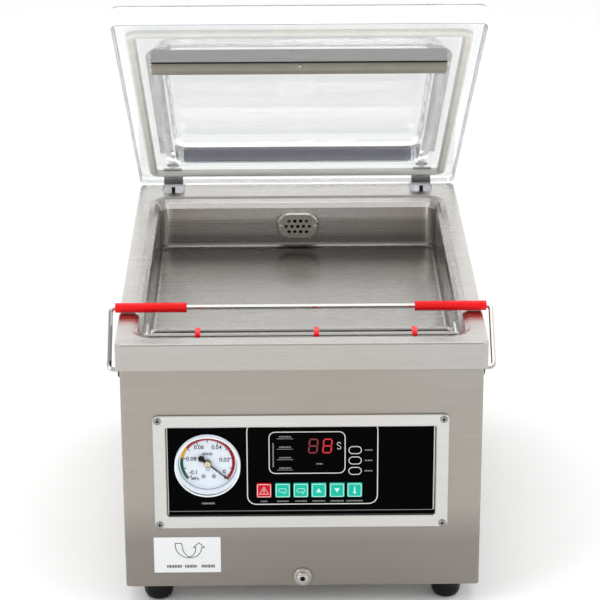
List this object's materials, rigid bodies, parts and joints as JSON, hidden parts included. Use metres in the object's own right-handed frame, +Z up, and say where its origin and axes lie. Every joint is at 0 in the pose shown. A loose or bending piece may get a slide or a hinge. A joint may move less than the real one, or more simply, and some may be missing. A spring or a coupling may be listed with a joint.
{
  "type": "chamber vacuum packing machine",
  "caption": "Countertop chamber vacuum sealer: steel body on rubber feet, drawn chamber, clear hinged lid with gasket, lock bail, bag clamp, sealing bar, front panel with gauge and keys.",
  "frame": {"origin": "on the surface it stands on, below the middle of the whole object's box with the lid open", "axes": "+Z up, -Y to the front with the control panel, +X to the right seen from the front"},
  "size_m": [0.3497, 0.468, 0.541],
  "materials": {
    "brushed_steel": "brushed",
    "satin_steel": "satin",
    "bright_steel": "polished wire and plated steel",
    "aluminium": "satin anodised",
    "cast_iron": "painted casting",
    "black_plastic": "satin",
    "clear_acrylic": "clear, polished",
    "white_silicone": "matt",
    "brown_silicone": "matt",
    "red_plastic": "gloss",
    "teal_key": "satin",
    "rubber": "matt",
    "circuit_green": "satin",
    "copper": "enamelled winding",
    "dial_white": "matt"
  },
  "bodies": {
    "base": {"base_pan": "satin_steel", "foot_front_left": "rubber", "foot_front_right": "rubber", "foot_rear_left": "rubber", "foot_rear_right": "rubber", "pump_body": "cast_iron", "pump_motor": "cast_iron", "motor_fan_cover": "black_plastic", "exhaust_filter": "aluminium", "transformer_core": "cast_iron", "transformer_coil": "copper", "tip_hinge_base_leaf": "satin_steel", "vacuum_hose": "rubber"},
    "shell": {"housing": "brushed_steel", "rear_panel": "brushed_steel", "chamber_tray": "satin_steel", "panel_frame": "aluminium", "control_plate": "black_plastic", "circuit_board": "circuit_green", "display_module": "black_plastic", "gauge_case": "dial_white", "gauge_lens": "clear_acrylic", "suction_cover": "satin_steel", "suction_elbow": "black_plastic", "clamp_bracket_left": "bright_steel", "clamp_bracket_right": "bright_steel", "lift_cylinder_left": "aluminium", "lift_cylinder_right": "aluminium", "lid_hinge_bracket_left": "bright_steel", "lid_hinge_bracket_right": "bright_steel", "lid_hinge_pin_left": "bright_steel", "lid_hinge_pin_right": "bright_steel", "bail_bush_left": "black_plastic", "bail_bush_right": "black_plastic", "housing_screw": "bright_steel", "mains_inlet": "black_plastic", "tip_hinge_housing_leaf": "satin_steel", "tip_hinge_pin": "bright_steel"},
    "lid": {"lid_shell": "clear_acrylic", "lid_gasket": "white_silicone", "lid_bar": "aluminium", "lid_strip": "brown_silicone", "lid_hinge_leaf_left": "bright_steel", "lid_hinge_leaf_right": "bright_steel"},
    "seal_bar": {"heating_bar": "aluminium", "heating_strip": "brown_silicone"},
    "bag_clamp": {"clamp_wire": "bright_steel", "clamp_sleeve_1": "red_plastic", "clamp_sleeve_2": "red_plastic", "clamp_sleeve_3": "red_plastic"},
    "bail": {"bail_wire": "bright_steel", "bail_grip_left": "red_plastic", "bail_grip_right": "red_plastic"},
    "needle": {"gauge_needle": "black_plastic"},
    "key_start": {"key_start": "red_plastic"},
    "key_vacuum_time": {"key_vacuum_time": "teal_key"},
    "key_seal_time": {"key_seal_time": "teal_key"},
    "key_up": {"key_up": "teal_key"},
    "key_down": {"key_down": "teal_key"},
    "key_temperature": {"key_temperature": "teal_key"}
  },
  "joints": [
    {"name": "housing_tip", "type": "hinge", "parent": "base", "child": "shell", "pos_m": [0, 0.21376, 0.0345], "axis": [-1, 0, 0], "range_deg": [0, 50], "deforming": ["vacuum_hose"]},
    {"name": "lid_hinge", "type": "hinge", "parent": "shell", "child": "lid", "pos_m": [0, 0.20896, 0.254], "axis": [1, 0, 0], "range_deg": [0, 35.8], "stiffness_Nm_per_rad": 3, "springref_deg": -148.97},
    {"name": "bail_swing", "type": "hinge", "parent": "shell", "child": "bail", "pos_m": [0, -0.20204, 0.2255], "axis": [1, 0, 0], "range_deg": [0, 187]},
    {"name": "bag_clamp_swing", "type": "hinge", "parent": "shell", "child": "bag_clamp", "pos_m": [0, -0.20424, 0.259], "axis": [-1, 0, 0], "range_deg": [-80, 0]},
    {"name": "seal_bar_lift", "type": "slide", "parent": "shell", "child": "seal_bar", "axis": [0, 0, 1], "range_m": [0, 0.0078]},
    {"name": "key_start_press", "type": "slide", "parent": "shell", "child": "key_start", "axis": [0, 1, 0], "range_m": [0, 0.0008], "stiffness_N_per_m": 700},
    {"name": "key_vacuum_time_press", "type": "slide", "parent": "shell", "child": "key_vacuum_time", "axis": [0, 1, 0], "range_m": [0, 0.0008], "stiffness_N_per_m": 700},
    {"name": "key_seal_time_press", "type": "slide", "parent": "shell", "child": "key_seal_time", "axis": [0, 1, 0], "range_m": [0, 0.0008], "stiffness_N_per_m": 700},
    {"name": "key_up_press", "type": "slide", "parent": "shell", "child": "key_up", "axis": [0, 1, 0], "range_m": [0, 0.0008], "stiffness_N_per_m": 700},
    {"name": "key_down_press", "type": "slide", "parent": "shell", "child": "key_down", "axis": [0, 1, 0], "range_m": [0, 0.0008], "stiffness_N_per_m": 700},
    {"name": "key_temperature_press", "type": "slide", "parent": "shell", "child": "key_temperature", "axis": [0, 1, 0], "range_m": [0, 0.0008], "stiffness_N_per_m": 700},
    {"name": "gauge_needle_turn", "type": "hinge", "parent": "shell", "child": "needle", "pos_m": [-0.085, -0.22754, 0.1429], "axis": [0, -1, 0], "range_deg": [0, 262], "stiffness_Nm_per_rad": 0.0002}
  ],
  "couplings": [
    {"joint": "bail_swing", "follows": "lid_hinge", "ratio": 5.22}
  ]
}
